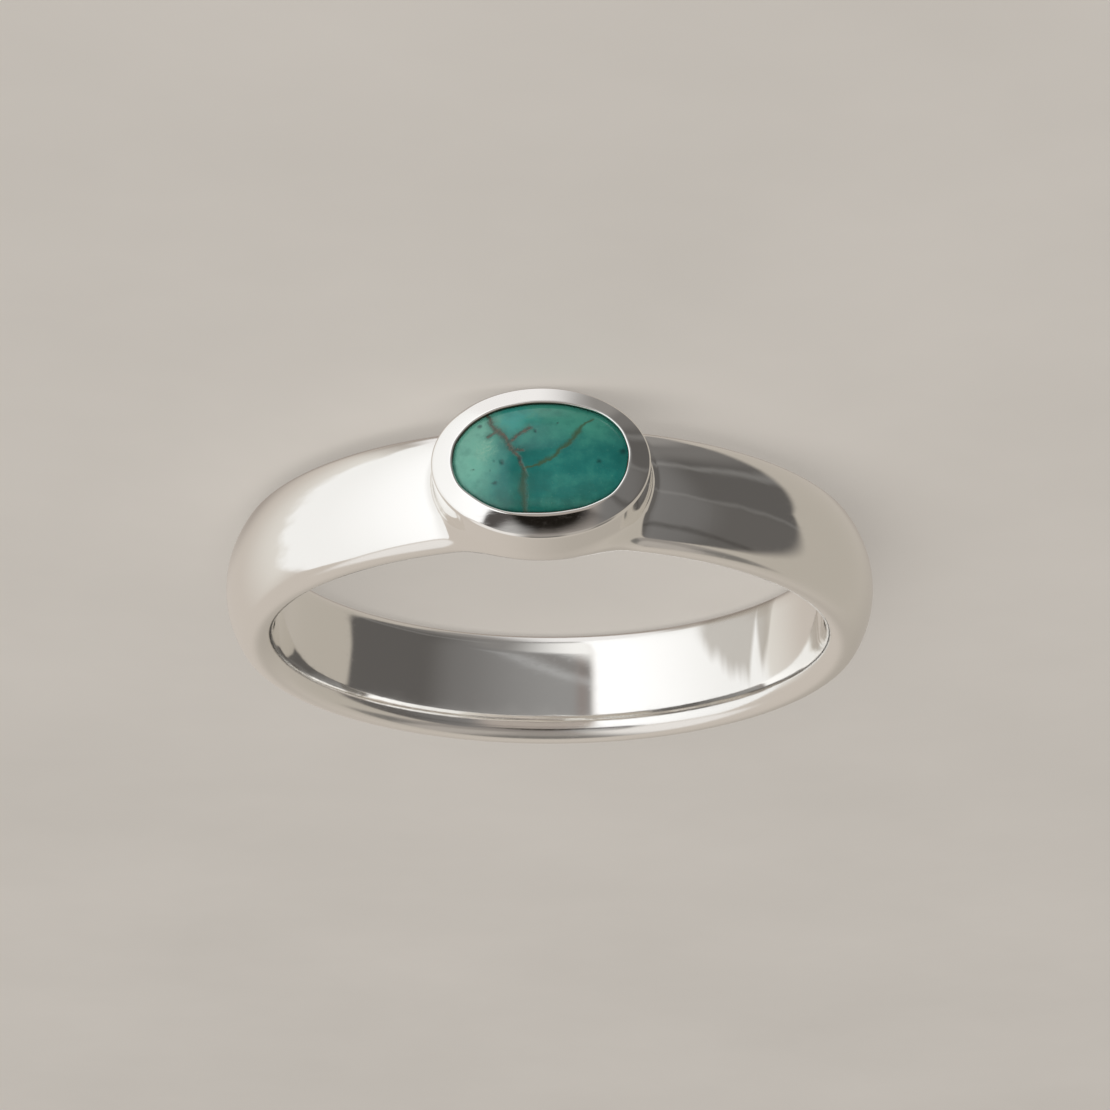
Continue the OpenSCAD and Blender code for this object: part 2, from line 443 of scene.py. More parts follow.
def bore_wall():
    """The inside of the shank between the two seams, with the same angles as the surfaces that it meets."""
    patch = PATCH_ANGLE * np.linspace(-1, 1, ALONG_CELLS + 1)
    rest = np.linspace(PATCH_ANGLE, 2 * math.pi - PATCH_ANGLE, SHANK_CELLS + 1)[1:]
    w = np.linspace(SEAM_W, MIDDLE_W, BORE_CELLS)
    w = np.concatenate([w, -w[-2::-1]])
    return on_shank(*np.meshgrid(np.concatenate([patch, rest]), w, indexing="ij"))


def cabochon_grid():
    """The stone: rings of the oval from the dome's top out to the girdle, down it and in under the back."""
    phi = np.linspace(0, 2 * math.pi, STONE_CELLS + 1)[:-1]
    share = np.sin(np.linspace(0, math.pi / 2, DOME_RINGS))
    plan = oval(phi, np.zeros_like(phi))[None] * share[:, None, None]
    dome = np.concatenate([plan, stone_height(plan[..., 0], plan[..., 1])[..., None]], -1)
    rows = []
    for inwards, up in BACK_ROUNDING:
        xa = oval(phi, np.full(phi.shape, -inwards))
        rows.append(np.concatenate([xa, np.full((len(phi), 1), STONE_BACK + up)], -1))
    rows.append(np.full(dome[-1].shape, (0, 0, STONE_BACK)))
    return np.concatenate([dome, np.stack(rows)])


def grid_faces(rows, columns, start, closed):
    """Quads between neighbouring rows and columns. A closed grid joins its last column to its first."""
    i, j = np.meshgrid(np.arange(rows - 1), np.arange(columns if closed else columns - 1), indexing="ij")
    i, k = start + i * columns, (j + 1) % columns
    return np.stack([i + j, i + columns + j, i + columns + k, i + k], -1).reshape(-1, 4)


def closed_mesh(name, grids):
    """One smooth mesh of grids, each with whether it is closed, merged at seams, with faces outwards."""
    verts, faces, count = [], [], 0
    for grid, closed in grids:
        rows, columns = grid.shape[:2]
        faces.append(grid_faces(rows, columns, count, closed))
        verts.append(lying(grid).reshape(-1, 3))
        count += rows * columns
    mesh = bpy.data.meshes.new(name)
    mesh.from_pydata(np.concatenate(verts).tolist(), [], np.concatenate(faces).tolist())
    work = bmesh.new()
    work.from_mesh(mesh)
    bmesh.ops.remove_doubles(work, verts=work.verts, dist=SEAM_MERGE)
    bmesh.ops.recalc_face_normals(work, faces=work.faces)
    work.to_mesh(mesh)
    work.free()
    mesh.polygons.foreach_set("use_smooth", np.ones(len(mesh.polygons), bool))
    return mesh


def piece(name, grids, node, material):
    """An object made of grids that stands for a CAD node and rides on the ring's only body."""
    mesh = closed_mesh(name, grids)
    mesh.materials.append(material)
    made = bpy.data.objects.new(name, mesh)
    bpy.context.scene.collection.objects.link(made)
    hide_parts(node)
    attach(made, "root")
    return made


class Wire:
    """An output in a node tree. Arithmetic on it adds Math nodes, and node() adds every other kind of
    node."""

    def __init__(self, tree, socket=None):
        self.tree = tree
        self.socket = socket

    def node(self, kind, settings, values, output=0):
        """Adds a node: its settings are set first, and then its sockets are given values or links."""
        made = self.tree.nodes.new(kind)
        for name, setting in settings.items():
            setattr(made, name, setting)
        for name, value in values.items():
            if isinstance(value, Wire):
                self.tree.links.new(value.socket, made.inputs[name])
            else:
                made.inputs[name].default_value = value
        return Wire(self.tree, made.outputs[output])

    def math(self, operation, *values):
        return self.node("ShaderNodeMath", {"operation": operation}, dict(enumerate(values)))

    def __add__(self, other):
        return self.math("ADD", self, other)

    def __radd__(self, other):
        return self.math("ADD", other, self)

    def __sub__(self, other):
        return self.math("SUBTRACT", self, other)

    def __rsub__(self, other):
        return self.math("SUBTRACT", other, self)

    def __mul__(self, other):
        return self.math("MULTIPLY", self, other)

    def __truediv__(self, other):
        return self.math("DIVIDE", self, other)

    def __neg__(self):
        return self.math("MULTIPLY", self, -1.0)

    def __abs__(self):
        return self.math("ABSOLUTE", self)

    def root(self):
        return self.math("SQRT", self)

    def least(self, other):
        return self.math("MINIMUM", self, other)

    def most(self, other):
        return self.math("MAXIMUM", self, other)

    def step(self, low, high):
        """0 below low and 1 above high, with a smooth step between; the other way round where low is
        above high."""
        values = {"Value": self, "From Min": low, "From Max": high}
        return self.node("ShaderNodeMapRange", {"interpolation_type": "SMOOTHSTEP"}, values)

    def near(self, value, reach):
        """1 at a value, falling smoothly to 0 at a reach to either side."""
        return abs(self - value).step(reach, 0.0)

    def mix(self, one, other):
        """Blends from one colour to the other by this factor."""
        return self.node("ShaderNodeMix", {"data_type": "RGBA"}, {0: self, 6: one, 7: other}, 2)

    def noise(self, scale, detail, roughness):
        """Noise about 0.5 at this place; the scale counts features per unit."""
        values = {"Vector": self, "Scale": scale, "Detail": detail, "Roughness": roughness}
        return self.node("ShaderNodeTexNoise", {}, values)


def rgb(red, green, blue):
    return (red, green, blue, 1.0)


def upright_place(tree):
    """Object coordinates turned back to the ring's upright axes, in millimetres: x, a and s."""
    coordinates = Wire(tree).node("ShaderNodeTexCoord", {}, {}, "Object")
    row = [coordinates.node("ShaderNodeSeparateXYZ", {}, {0: coordinates}, axis) / MM for axis in range(3)]
    sin, cos = math.sin(REST_TILT), math.cos(REST_TILT)
    return row[0], row[1] * sin + row[2] * cos, row[2] * sin - row[1] * cos


def vector(x, y, z):
    return x.node("ShaderNodeCombineXYZ", {}, {0: x, 1: y, 2: z})


def new_material(name):
    material = bpy.data.materials.new(name)
    material.use_nodes = True
    return material, material.node_tree, material.node_tree.nodes["Principled BSDF"]


def feed(shader, values):
    """Gives the shader's sockets their values, or links them."""
    for name, value in values.items():
        if isinstance(value, Wire):
            value.tree.links.new(value.socket, shader.inputs[name])
        else:
            shader.inputs[name].default_value = value


# Silver: the seam beside the stone is this far outside the oval, this far under the rim and this high up
SEAM_OUT = (-0.08, -0.12)
SEAM_UNDER = (0.09, 0.12)
SEAM_HIGH = (LIP_S - 0.4, LIP_S - 0.3)
# Where the shank's outer edges are dulled, along the hole and by the distance from its axis
DULL_A = (1.3, 1.5)
DULL_R = (9.75, 9.55)
INSIDE_R = (8.9, 8.8)
# Fine lines and slow waves: lines run round the band, so their noise is drawn out that way
LINES_ROUND = 0.35
LINES_UP = 0.02
# Noises of the silver, each as features per millimetre, detail and roughness
LINES_NOISE = (9.0, 3.0, 0.6)
WAVES_NOISE = (0.55, 1.0, 0.4)
WEAR_NOISE = (1.1, 4.0, 0.6)
STRAND_NOISE = (1.0, 2.0, 0.5)
WEAR_SPAN = (0.5, 0.72)
DULL_LINES = (0.62, 0.06)
# Roughness of the polish, and what wear, lines, seam, dull edges and streaks add to it
POLISH = 0.062
WEAR_ROUGH = 0.035
LINE_ROUGH = 0.05
SEAM_ROUGH = 0.3
EDGE_ROUGH = 0.1
STREAK_ROUGH = 0.1
# Depths in metres
WAVE_DEPTH = 5e-6
LINE_DEPTH = 2.5e-7


def seam_beside_stone(x, a, s):
    """1 in the seam between the lip and the stone, under the sloping rim and above the pocket. The
    distance outside the oval is what its formula is over 1, divided by that formula's slope."""
    share = (x / HALF_L) * (x / HALF_L) + (a / HALF_W) * (a / HALF_W)
    slope = ((x / HALF_L**2) * (x / HALF_L**2) + (a / HALF_W**2) * (a / HALF_W**2)).root()
    out = (share - 1.0) / (slope * 2.0).most(LEAST_SLOPE)
    under_rim = (LIP_S - (out + LIP_REACH) * math.tan(RIM_SLOPE)) - s
    return out.step(*SEAM_OUT) * under_rim.step(*SEAM_UNDER) * s.step(*SEAM_HIGH)


# Painted streaks of reflection inside, by degrees round the hole from the stone: where they begin and end on
# either side
STREAKS_BEGIN = (149.0, 144.0)
STREAKS_END = (122.0, 127.0)
# They reach up from the hole's lower edge: how soft their ends are, from where and over how many degrees
# they get longer and how fast, how far single strands reach, and from where on they get shorter again and
# how fast
STREAK_ENDS = (0.5, -0.4)
HANG_BASE = 1.9
HANG_FROM = 146.0
HANG_SPAN = 16.0
HANG_CLIMB = 0.145
STRAND_REACH = 1.8
STRAND_ROUND = 0.22
STRAND_ALONG = 0.2
TAIL_FROM = 129.0
TAIL_FALL = 0.55
# A bright gap between them, pointed below and widening upwards
GAP_AT = 130.0
GAP_TIP_A = -1.2
GAP_WIDENING = 1.1
GAP_EDGE = (-0.8, 0.8)
STREAK_SHARE = 0.7


def painted_reflection_streaks(x, a, s):
    """1 in the painted streaks of reflection at one part of the shank's inside, by the angle round the hole
    and by a.
    """
    turned = x.math("ARCTAN2", -x, s) * math.degrees(1)
    strands = vector(turned * STRAND_ROUND, a * STRAND_ALONG, 0.0).noise(*STRAND_NOISE)
    climb = (HANG_FROM - turned).least(HANG_SPAN) * HANG_CLIMB
    hang = a + HANG_BASE - climb - strands * STRAND_REACH + (TAIL_FROM - turned).most(0.0) * TAIL_FALL
    streaks = hang.step(*STREAK_ENDS) * turned.step(*STREAKS_BEGIN) * turned.step(*STREAKS_END)
    gap = abs(turned - GAP_AT) - (a - GAP_TIP_A) * GAP_WIDENING
    return streaks * gap.step(*GAP_EDGE)


def silver_material():
    """Polished silver: slow hand-polishing waves, fine lines round the band, edges dulled by wear, painted
    streaks of reflection across the inside at one place, and painted shade, a darker tone, in the seam
    between the lip and the stone."""
    material, tree, shader = new_material("polished_silver")
    x, a, s = upright_place(tree)
    place = vector(x, a, s)
    around = x.math("ARCTAN2", x, s) * BORE_R
    lines = vector(around * LINES_ROUND, a, s * LINES_UP).noise(*LINES_NOISE)
    waves = place.noise(*WAVES_NOISE)
    wear = place.noise(*WEAR_NOISE).step(*WEAR_SPAN)
    radius = (x * x + s * s).root()
    seam = seam_beside_stone(x, a, s)
    edge = abs(a).step(*DULL_A) * radius.step(*DULL_R)
    streaks = painted_reflection_streaks(x, a, s) * radius.step(*INSIDE_R)
    # Painted shade: the seam between the lip and the stone is darkened where its gap shades it
    colour = seam.mix(rgb(*SILVER), rgb(*PAINTED_SEAM_SHADE))
    # Painted reflection: duller beige streaks inside stand in for what the polished wall reflects there
    colour = (streaks * STREAK_SHARE).mix(colour, rgb(*PAINTED_STREAK_COLOUR))
    roughness = POLISH + wear * WEAR_ROUGH + lines.near(*DULL_LINES) * LINE_ROUGH
    roughness = roughness + seam * SEAM_ROUGH + edge * EDGE_ROUGH + streaks * STREAK_ROUGH
    low = waves.node("ShaderNodeBump", {}, {"Strength": 1.0, "Distance": WAVE_DEPTH, "Height": waves})
    fine = {"Strength": 1.0, "Distance": LINE_DEPTH, "Height": lines, "Normal": low}
    feed(shader, {"Base Color": colour, "Metallic": 1.0, "Roughness": roughness,
                  "Normal": waves.node("ShaderNodeBump", {}, fine)})
    return material


def line_distance(x, a, start, end):
    """Distance from the line between two points of the oval. The place along it is held to its length."""
    length = math.dist(start, end)
    ux, ua = (end[0] - start[0]) / length, (end[1] - start[1]) / length
    dx, da = x - start[0], a - start[1]
    along = (dx * ux + da * ua).most(0.0).least(length)
    side_x, side_a = dx - along * ux, da - along * ua
    return (side_x * side_x + side_a * side_a).root()


def course_distance(x, a, course):
    """Distance from a vein's course, as the least of the distances from its straight parts."""
    nearest = line_distance(x, a, course[0], course[1])
    for start, end in zip(course[1:], course[2:]):
        nearest = nearest.least(line_distance(x, a, start, end))
    return nearest


def disc(x, a, centre, reach):
    """1 at a centre on the stone, falling smoothly to 0 at the reach round it."""
    dx, da = x - centre[0], a - centre[1]
    return (dx * dx + da * da).root().step(reach, 0.0)


# Noises of the turquoise, each as features per millimetre, detail and roughness
CLOUD_NOISE = (0.9, 2.0, 0.5)
MOTTLE_NOISE = (3.0, 4.0, 0.6)
GRAIN_NOISE = (13.0, 3.0, 0.65)
BLOTCH_NOISE = (2.4, 3.0, 0.55)
SHAKE_NOISE = (2.6, 4.0, 0.65)
SWELL_NOISE = (2.1, 2.0, 0.5)
SWELL_SPAN = (0.35, 0.65)
# The second shake is the first one's noise taken this far away
SHAKE_SHIFT = (7.0, -5.0)

# Turquoise: where one colour gives way to the next, along a for the first two, which are painted light and
# shade, and along x for the pale end, which is partly a painted sheen
PAINTED_LIGHT_TO_TEAL = (-1.5, 0.0)
TEAL_TO_PAINTED_SHADE = (0.55, 1.7)
PAINTED_SHADE_SHARE = 0.9
PALE_X = (1.0, 1.85)
PALE_A = (1.75, 0.2)
PALE_LEAN = 0.12
PALE_AND_SHEEN_SHARE = 0.85
# How much the clouds and the finer drift shift those borders
CLOUDS_SHIFT_A = 1.4
DRIFT_SHIFT_A = 0.9
SHIFT_X = 0.5
# A bluer patch and a chalky one: centre, reach and share
BLUE_PATCH = ((0.75, -1.15), 0.85, 0.7)
CHALKY_PATCH = ((1.62, -0.18), 0.5, 0.55)
CHALK_GRAIN = (0.35, 0.65)
BLUE_WANDER = 1.2
CHALK_WANDER = (0.8, 0.5)
# Blotches of lighter and deeper colour, and chalky grains, with their shares
LIGHT_BLOTCHES = (0.44, 0.78)
LIGHT_SHARE = 0.26
DEEP_BLOTCHES = (0.54, 0.26)
BLOTCH_SHARE = 0.3
GRAIN_SPAN = (0.58, 0.8)
GRAIN_SHARE = 0.12
POOL_WANDER = 0.7
POOL_SHARE = 0.7


def stone_ground(x, a, place, clouds, drift, grain):
    """Colour of the stone without its veins: pale green at one end, partly a painted sheen, and teal
    elsewhere, with painted light and shade across it, softer green along one side and deeper along the other,
    deeper in a few pools, with clouds and blotches."""
    across = a + clouds * CLOUDS_SHIFT_A + drift * DRIFT_SHIFT_A
    # Painted light and shade: softer green towards -a and deeper towards +a, as the light falls
    colour = across.step(*PAINTED_LIGHT_TO_TEAL).mix(rgb(*SOFT_GREEN), rgb(*TEAL))
    colour = (across.step(*TEAL_TO_PAINTED_SHADE) * PAINTED_SHADE_SHARE).mix(colour, rgb(*DEEP_GREEN))
    centre, reach, share = BLUE_PATCH
    colour = (disc(x + drift * BLUE_WANDER, a, centre, reach) * share).mix(colour, rgb(*SEA_BLUE))
    # The pale end is partly the stone's own paler colour and partly a painted sheen of the window's light
    along = x + clouds * SHIFT_X + drift * SHIFT_X - a * PALE_LEAN
    pale_and_sheen = along.step(*PALE_X) * (a + drift).step(*PALE_A)
    colour = (pale_and_sheen * PALE_AND_SHEEN_SHARE).mix(colour, rgb(*PALE_GREEN))
    centre, reach, share = CHALKY_PATCH
    chalk = disc(x + drift * CHALK_WANDER[0], a + drift * CHALK_WANDER[1], centre, reach)
    chalk = chalk * grain.step(*CHALK_GRAIN)
    colour = (chalk * share).mix(colour, rgb(*CHALKY))
    blotches = place.noise(*BLOTCH_NOISE)
    colour = (blotches.step(*LIGHT_BLOTCHES) * LIGHT_SHARE).mix(colour, rgb(*SOFT_GREEN))
    colour = (blotches.step(*DEEP_BLOTCHES) * BLOTCH_SHARE).mix(colour, rgb(*DEEP_TEAL))
    colour = (grain.step(*GRAIN_SPAN) * GRAIN_SHARE).mix(colour, rgb(*CHALKY))
    for centre, reach in POOLS:
        pool = disc(x + drift * POOL_WANDER, a + clouds * POOL_WANDER, centre, reach)
        colour = (pool * POOL_SHARE).mix(colour, rgb(*DEEP_TEAL))
    return colour


# Veins: how far they wander from their courses, and their widths, each with how much they swell along the way
VEIN_WANDER = 0.3
STEM_WIDTH = (0.85, 0.6)
SIDE_WIDTH = (0.95, 0.6)
TWIG_WIDTH = (0.55, 0.5)
THREAD_WIDTH = (0.6, 0.6)
# The stem is thicker past this a, and the long thread thickens at one knot
STEM_LOWER = (0.4, 0.8)
STEM_THICKENING = 0.75
KNOT = ((-1.12, -0.75), 0.45)
# Distances over which the veins fade into the stone, and the stem's dark border
STEM_EDGE = 0.09
THREAD_EDGE = 0.1
BORDER = (0.24, 0.03)
BORDER_SHARE = 0.35
# How much the veins cover the stone, and how much more where the grain is bright
THREAD_COVER = (0.5, 0.5)
STEM_COVER = (0.68, 0.4)
OLIVE_FROM = (0.3, 0.65)
BROWN_GRAIN = (0.4, 0.62)


def vein_distances(x, a, vx, va, swell):
    """Distances from the brown stem with its side vein and twigs, and from the long thread, over their
    widths. The places vx and va wander, so that the veins don't run straight."""
    stem_width = STEM_WIDTH[0] + swell * STEM_WIDTH[1] + a.step(*STEM_LOWER) * STEM_THICKENING
    stem = course_distance(vx, va, MAIN_VEIN) / stem_width
    stem = stem.least(course_distance(vx, va, SIDE_VEIN) / (SIDE_WIDTH[0] + swell * SIDE_WIDTH[1]))
    for twig in TWIGS:
        stem = stem.least(course_distance(vx, va, twig) / (TWIG_WIDTH[0] + swell * TWIG_WIDTH[1]))
    thread_width = THREAD_WIDTH[0] + swell * THREAD_WIDTH[1] + disc(x, a, *KNOT)
    return stem, course_distance(vx, va, LONG_VEIN) / thread_width


# Scattered specks: cells per millimetre, where they show, and their strength beside the placed ones
CELLS_SCALE = 2.6
CELL_SPECKS = (0.13, 0.03)
CLOUDED = (0.0, 0.1)
SCATTERED_SHARE = 0.5
CELL_WANDER = 0.3
SPECK_SHARE = 0.75


def dark_specks(place, vx, va, clouds, drift):
    """1 in the dark specks: those listed, and fainter ones scattered where the stone is clouded."""
    specks = disc(vx, va, *SPECKS[0])
    for centre, reach in SPECKS[1:]:
        specks = specks.most(disc(vx, va, centre, reach))
    cells = place.node("ShaderNodeTexVoronoi", {}, {"Vector": place, "Scale": CELLS_SCALE})
    scattered = (cells + drift * CELL_WANDER).step(*CELL_SPECKS) * clouds.step(*CLOUDED)
    return specks.most(scattered * SCATTERED_SHARE)


# Painted shade: the stone darkens towards the lip that shades it: the share of the oval where that starts and
# ends, and how much
PAINTED_LIP_SHADE_SPAN = (0.86, 0.95)
PAINTED_LIP_SHADE = 0.3
STONE_ROUGH = 0.1
MOTTLE_ROUGH = 0.05
VEIN_ROUGH = 0.25
STONE_IOR = 1.52
# Relief of the polish in metres, and what mottle, grain, the thread and the specks take of it beside the
# stem's 1
RELIEF = 9e-6
MOTTLE_RELIEF = 0.14
GRAIN_RELIEF = 0.05
THREAD_RELIEF = 0.4
SPECK_RELIEF = 0.6


def turquoise_material():
    """Turquoise: a clouded ground, brown and olive matrix veins a little below the polish, dark specks and
    painted shade at its edge under the lip."""
    material, tree, shader = new_material("turquoise")
    x, a, s = upright_place(tree)
    place = vector(x, a, s)
    clouds = place.noise(*CLOUD_NOISE) - 0.5
    mottle = place.noise(*MOTTLE_NOISE)
    grain = place.noise(*GRAIN_NOISE)
    drift = mottle - 0.5
    colour = stone_ground(x, a, place, clouds, drift, grain)

    shake = place.noise(*SHAKE_NOISE) - 0.5
    other_shake = vector(x + SHAKE_SHIFT[0], a + SHAKE_SHIFT[1], s).noise(*SHAKE_NOISE) - 0.5
    vx, va = x + shake * VEIN_WANDER, a + other_shake * VEIN_WANDER
    swell = place.noise(*SWELL_NOISE).step(*SWELL_SPAN)
    stem, thread = vein_distances(x, a, vx, va, swell)
    core = stem.step(STEM_EDGE, 0.0)
    thread_core = thread.step(THREAD_EDGE, 0.0)
    brown = grain.step(*BROWN_GRAIN).mix(rgb(*UMBER), rgb(*RUSSET))
    stem_colour = a.step(*OLIVE_FROM).mix(brown, rgb(*OLIVE))
    colour = (stem.step(*BORDER) * BORDER_SHARE).mix(colour, rgb(*DEEP_GREEN))
    colour = (thread_core * (THREAD_COVER[0] + grain * THREAD_COVER[1])).mix(colour, rgb(*GOLDEN_OLIVE))
    colour = (core * (STEM_COVER[0] + grain * STEM_COVER[1])).mix(colour, stem_colour)

    specks = dark_specks(place, vx, va, clouds, drift)
    colour = (specks * SPECK_SHARE).mix(colour, rgb(*SPECK))
    # Painted shade at the stone's edge, under the lip
    edge = ((x / HALF_L) * (x / HALF_L) + (a / HALF_W) * (a / HALF_W)).root().step(*PAINTED_LIP_SHADE_SPAN)
    colour = (edge * PAINTED_LIP_SHADE).mix(colour, rgb(*DEEP_GREEN))
    height = mottle * MOTTLE_RELIEF + grain * GRAIN_RELIEF - core
    height = height - thread_core * THREAD_RELIEF - specks * SPECK_RELIEF
    relief = {"Strength": 1.0, "Distance": RELIEF, "Height": height}
    feed(shader, {"Base Color": colour, "Roughness": STONE_ROUGH + mottle * MOTTLE_ROUGH + core * VEIN_ROUGH,
                  "IOR": STONE_IOR, "Normal": height.node("ShaderNodeBump", {}, relief)})
    return material


silver = silver_material()
turquoise = turquoise_material()
silver_grids = [(blended_patch(), True), (bezel_cup(), True), (plain_shank(), False), (bore_wall(), False)]
ring = piece("silver_ring", silver_grids, "shank_and_bezel", silver)
stone = piece("turquoise_cabochon", [(cabochon_grid(), True)], "cabochon", turquoise)


# The camera, as found from the outlines in the photograph. Its frame is the ring's upright one, but turned
# about the finger hole's axis so that the stone leans a little to the picture's left.
VIEW_ELEVATION = math.radians(69.381)
VIEW_LEAN = math.radians(1.236)
VIEW_DISTANCE = 148.23
VIEW_SIDE = 0.169
VIEW_RAISE = 1.249
FOCAL_PIXELS = 4710.3
PHOTO_PIXELS = 1110
CLIP_START = 0.01


def seen_to_row(right, towards, up):
    """A direction or place in the picture's frame (right, towards the viewer, up) as x, a and s, then
    lying."""
    x = -(right * math.cos(VIEW_LEAN) + up * math.sin(VIEW_LEAN))
    s = -right * math.sin(VIEW_LEAN) + up * math.cos(VIEW_LEAN)
    return Vector(lying(np.array([x, towards, s], float)))


def make_camera():
    """Camera at the photograph's angle: it looks back along a line raised from the finger hole towards the
    stone, and its own right and up are square to that line."""
    right = np.array([1.0, 0.0, 0.0])
    back = np.array([0.0, math.cos(VIEW_ELEVATION), math.sin(VIEW_ELEVATION)])
    up = np.array([0.0, -math.sin(VIEW_ELEVATION), math.cos(VIEW_ELEVATION)])
    place = back * VIEW_DISTANCE + right * VIEW_SIDE + up * VIEW_RAISE
    camera = bpy.data.objects.new("camera", bpy.data.cameras.new("camera"))
    camera.data.lens = FOCAL_PIXELS / PHOTO_PIXELS * camera.data.sensor_width
    camera.data.clip_start = CLIP_START
    turn = Matrix([seen_to_row(*axis).normalized() for axis in (right, up, back)]).transposed()
    camera.matrix_world = Matrix.Translation(seen_to_row(*place)) @ turn.to_4x4()
    bpy.context.scene.collection.objects.link(camera)
    bpy.context.scene.camera = camera


def make_floor():
    """Plain pale floor under the ring, with the faintest clouding. It glows a little, like a light table,
    which keeps the shadows soft. Reflections see the studio in its place."""
    material, tree, shader = new_material("pale_floor")
    coordinates = Wire(tree).node("ShaderNodeTexCoord", {}, {}, "Object")
    clouding = coordinates.noise(*CLOUDING_NOISE)
    colour = clouding.mix(rgb(*FLOOR_DARK), rgb(*FLOOR_LIGHT))
    lit_dark, lit_light = [[FLOOR_SHARE * part for part in tone] for tone in (FLOOR_DARK, FLOOR_LIGHT)]
    feed(shader, {"Base Color": clouding.mix(rgb(*lit_dark), rgb(*lit_light)), "Roughness": FLOOR_ROUGH,
                  "Emission Color": colour, "Emission Strength": FLOOR_GLOW})
    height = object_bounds()[0][2]
    mesh = bpy.data.meshes.new("floor")
    corners = [(x * FLOOR_HALF, y * FLOOR_HALF, height) for x, y in ((-1, -1), (1, -1), (1, 1), (-1, 1))]
    mesh.from_pydata(corners, [], [(0, 1, 2, 3)])
    mesh.materials.append(material)
    floor = bpy.data.objects.new("floor", mesh)
    bpy.context.scene.collection.objects.link(floor)
    floor.visible_glossy = False


# The studio by direction, and its colours. turn is the angle about the finger hole in degrees, from the
# stone's side (0) to the picture's right (+) or left (-). rise is the share of the direction along the
# hole, up from the floor. right and ahead are its shares to the picture's right and to the stone's side.
# A pair is where a smooth step from 0 to 1 starts and where it ends.
RIPPLE_NOISE = (4.0, 3.0, 0.6)

# Pale walls all round, darker behind and in one corner, with a glow low beside the window
WALL_SPAN = (-0.4, 0.9)
WALL_LEFT = (0.575, 0.52, 0.465)
WALL_RIGHT = (0.46, 0.42, 0.365)
BEHIND_AHEAD = (-0.75, -1.0)
BEHIND_RIGHT = (-0.25, 0.15)
BEHIND_SHARE = 0.5
WALL_BEHIND = (0.31, 0.28, 0.24)
CORNER_LEFT_TURN = (-134.0, -166.0)
CORNER_RIGHT_TURN = (152.0, 176.0)
CORNER_RISE = (-0.3, -0.5)
CORNER_FOOT_RIGHT = (-0.1, -0.2)
CORNER_FOOT_RISE = (-0.78, -0.88)
CORNER_SHARE = 0.9
CORNER_SHADE = (0.34, 0.295, 0.26)
GLOW_FAR_TURN = (-142.0, -100.0)
GLOW_NEAR_TURN = (-20.0, -60.0)
GLOW_LOW_RISE = (-0.95, -0.8)
GLOW_HIGH_RISE = (0.35, 0.1)
GLOW = (0.76, 0.73, 0.68)


def pale_walls(turn, rise, ahead, right):
    colour = right.step(*WALL_SPAN).mix(rgb(*WALL_LEFT), rgb(*WALL_RIGHT))
    behind = ahead.step(*BEHIND_AHEAD) * right.step(*BEHIND_RIGHT)
    colour = (behind * BEHIND_SHARE).mix(colour, rgb(*WALL_BEHIND))
    corner = turn.step(*CORNER_LEFT_TURN).most(turn.step(*CORNER_RIGHT_TURN)) * rise.step(*CORNER_RISE)
    corner = corner.most(right.step(*CORNER_FOOT_RIGHT) * rise.step(*CORNER_FOOT_RISE))
    colour = (corner * CORNER_SHARE).mix(colour, rgb(*CORNER_SHADE))
    glow = turn.step(*GLOW_FAR_TURN) * turn.step(*GLOW_NEAR_TURN)
    glow = glow * rise.step(*GLOW_LOW_RISE) * rise.step(*GLOW_HIGH_RISE)
    return glow.mix(colour, rgb(*GLOW))


# The window: its far side is soft and slants away low down, and its top comes down at that side
WINDOW_NEAR = (-16.5, -21.5)
WINDOW_FAR = -105.0
WINDOW_FAR_EDGE = (-6.0, 4.0)
WINDOW_FAR_RIPPLE = 24.0
WINDOW_SLANT_BELOW = -0.62
WINDOW_SLANT = -45.0
WINDOW_TOP = 0.66
WINDOW_TOP_EDGE = (0.04, -0.03)
WINDOW_FALLS_FROM = -91.0
WINDOW_FALL = 0.028
WHITE_SPAN = (-25.0, -90.0)
WHITE_NEAR = (1.12, 1.12, 1.12)
WHITE_FAR = (0.93, 0.925, 0.91)


def add_window(colour, turn, rise, ripple):
    far_edge = ripple * WINDOW_FAR_RIPPLE + WINDOW_FAR + (rise - WINDOW_SLANT_BELOW).least(0.0) * WINDOW_SLANT
    top = WINDOW_TOP - (WINDOW_FALLS_FROM - turn).most(0.0) * WINDOW_FALL
    window = turn.step(*WINDOW_NEAR) * (turn - far_edge).step(*WINDOW_FAR_EDGE)
    window = window * (rise - top).step(*WINDOW_TOP_EDGE)
    white = turn.step(*WHITE_SPAN).mix(rgb(*WHITE_NEAR), rgb(*WHITE_FAR))
    return window.mix(colour, white)


# The dark room begins at the window. It ends on the right, sooner high up and later low down, with an
# edge that is softest well above and below one height, and it ends overhead
ROOM_BEGIN = (-21.5, -16.5)
ROOM_END = 95.0
ROOM_END_HIGH = 85.0
ROOM_LOW = -0.36
ROOM_END_LOW = 38.0
ROOM_END_MOST = 15.0
ROOM_SHARP_RISE = -0.33
ROOM_SOFTENING = 12.0
ROOM_SOFTNESS = (1.5, 5.5)
ROOM_EDGE_LEAN = -0.6
ROOM_TOP = (0.84, 0.74)
